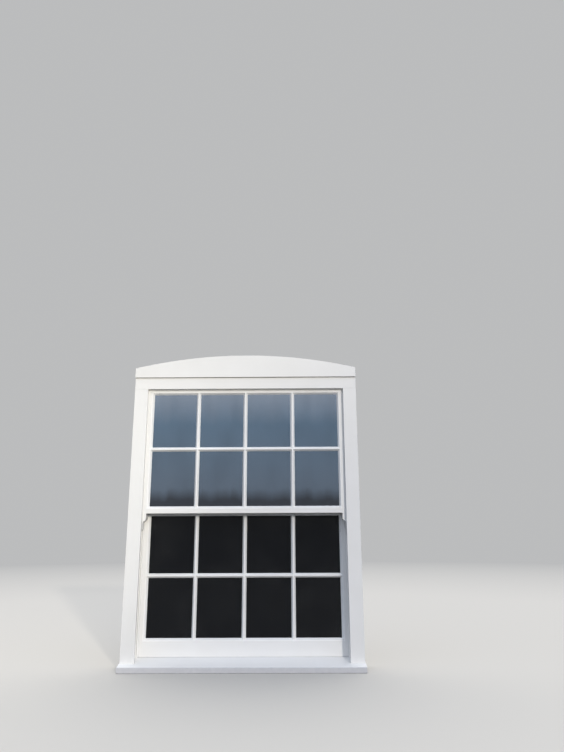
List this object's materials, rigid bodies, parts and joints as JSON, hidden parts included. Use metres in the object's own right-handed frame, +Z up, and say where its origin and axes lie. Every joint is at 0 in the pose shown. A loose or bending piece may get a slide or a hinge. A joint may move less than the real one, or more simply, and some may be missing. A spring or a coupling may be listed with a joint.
{
  "type": "sash window",
  "caption": "Vertical sliding timber sash window with an arched head board, weathered sill, glazing bars, horned upper sash, spiral balances, fasteners and lifts.",
  "frame": {"origin": "middle of the sill's underside, in the plane of the outer linings' outside face", "axes": "+X to the right seen from outside, +Y into the building, +Z up"},
  "size_m": [1.195, 0.193, 1.5819],
  "materials": {
    "white_paint": "satin",
    "glass": "gloss",
    "spacer": "satin",
    "pile_seal": "matte",
    "balance_tube": "satin",
    "steel": "satin",
    "nylon": "matte",
    "ironmongery": "satin"
  },
  "bodies": {
    "frame": {"arch_board": "white_paint", "balance_springs": "steel", "head": "white_paint", "head_lining": "white_paint", "head_seal": "pile_seal", "jamb_left": "white_paint", "jamb_right": "white_paint", "lower_balance_tube_left": "balance_tube", "lower_balance_tube_right": "balance_tube", "outer_lining_left": "white_paint", "outer_lining_right": "white_paint", "parting_bead_head": "white_paint", "parting_bead_left": "white_paint", "parting_bead_right": "white_paint", "parting_bead_seals": "pile_seal", "sill": "white_paint", "staff_bead_head": "white_paint", "staff_bead_left": "white_paint", "staff_bead_right": "white_paint", "staff_bead_seals": "pile_seal", "staff_bead_sill": "white_paint", "upper_balance_tube_left": "balance_tube", "upper_balance_tube_right": "balance_tube"},
    "upper_sash": {"upper_balance_feet": "nylon", "upper_balance_rod_left": "steel", "upper_balance_rod_right": "steel", "upper_inner_bars": "white_paint", "upper_inner_pane": "glass", "upper_meeting_rail": "white_paint", "upper_outer_bars": "white_paint", "upper_outer_pane": "glass", "upper_spacer_grid": "spacer", "upper_stile_left": "white_paint", "upper_stile_right": "white_paint", "upper_top_rail": "white_paint", "fastener_keeps": "ironmongery"},
    "lower_sash": {"lower_balance_feet": "nylon", "lower_balance_rod_left": "steel", "lower_balance_rod_right": "steel", "lower_bottom_rail": "white_paint", "lower_inner_bars": "white_paint", "lower_inner_pane": "glass", "lower_meeting_rail": "white_paint", "lower_outer_bars": "white_paint", "lower_outer_pane": "glass", "lower_spacer_grid": "spacer", "lower_stile_left": "white_paint", "lower_stile_right": "white_paint", "bottom_rail_seal": "pile_seal", "meeting_rail_seal": "pile_seal", "sash_lift_left": "ironmongery", "sash_lift_right": "ironmongery", "fastener_bases": "ironmongery"},
    "fastener_left": {"fastener_lever_left": "ironmongery"},
    "upper_bush_left": {"upper_balance_bush_left": "nylon"},
    "lower_bush_left": {"lower_balance_bush_left": "nylon"},
    "fastener_right": {"fastener_lever_right": "ironmongery"},
    "upper_bush_right": {"upper_balance_bush_right": "nylon"},
    "lower_bush_right": {"lower_balance_bush_right": "nylon"}
  },
  "joints": [
    {"name": "upper_sash_slide", "type": "slide", "parent": "frame", "child": "upper_sash", "axis": [0, 0, 1], "range_m": [-0.55, 0]},
    {"name": "lower_sash_slide", "type": "slide", "parent": "frame", "child": "lower_sash", "axis": [0, 0, 1], "range_m": [0, 0.55]},
    {"name": "fastener_left_turn", "type": "hinge", "parent": "lower_sash", "child": "fastener_left", "pos_m": [-0.12575, 0.0975, 0.79], "axis": [0, 0, 1], "range_deg": [-90, 0]},
    {"name": "fastener_right_turn", "type": "hinge", "parent": "lower_sash", "child": "fastener_right", "pos_m": [0.12575, 0.0975, 0.79], "axis": [0, 0, 1], "range_deg": [-90, 0]},
    {"name": "upper_bush_left_spin", "type": "hinge", "parent": "frame", "child": "upper_bush_left", "pos_m": [-0.5297, 0.0445, 0.78], "axis": [0, 0, 1], "continuous": true},
    {"name": "upper_bush_right_spin", "type": "hinge", "parent": "frame", "child": "upper_bush_right", "pos_m": [0.5297, 0.0445, 0.78], "axis": [0, 0, 1], "continuous": true},
    {"name": "lower_bush_left_spin", "type": "hinge", "parent": "frame", "child": "lower_bush_left", "pos_m": [-0.5297, 0.1015, 0.725], "axis": [0, 0, 1], "continuous": true},
    {"name": "lower_bush_right_spin", "type": "hinge", "parent": "frame", "child": "lower_bush_right", "pos_m": [0.5297, 0.1015, 0.725], "axis": [0, 0, 1], "continuous": true}
  ],
  "couplings": [
    {"joint": "upper_bush_left_spin", "follows": "upper_sash_slide", "rad_per_m": -41.888},
    {"joint": "upper_bush_right_spin", "follows": "upper_sash_slide", "rad_per_m": -41.888},
    {"joint": "lower_bush_left_spin", "follows": "lower_sash_slide", "rad_per_m": -41.888},
    {"joint": "lower_bush_right_spin", "follows": "lower_sash_slide", "rad_per_m": -41.888}
  ]
}
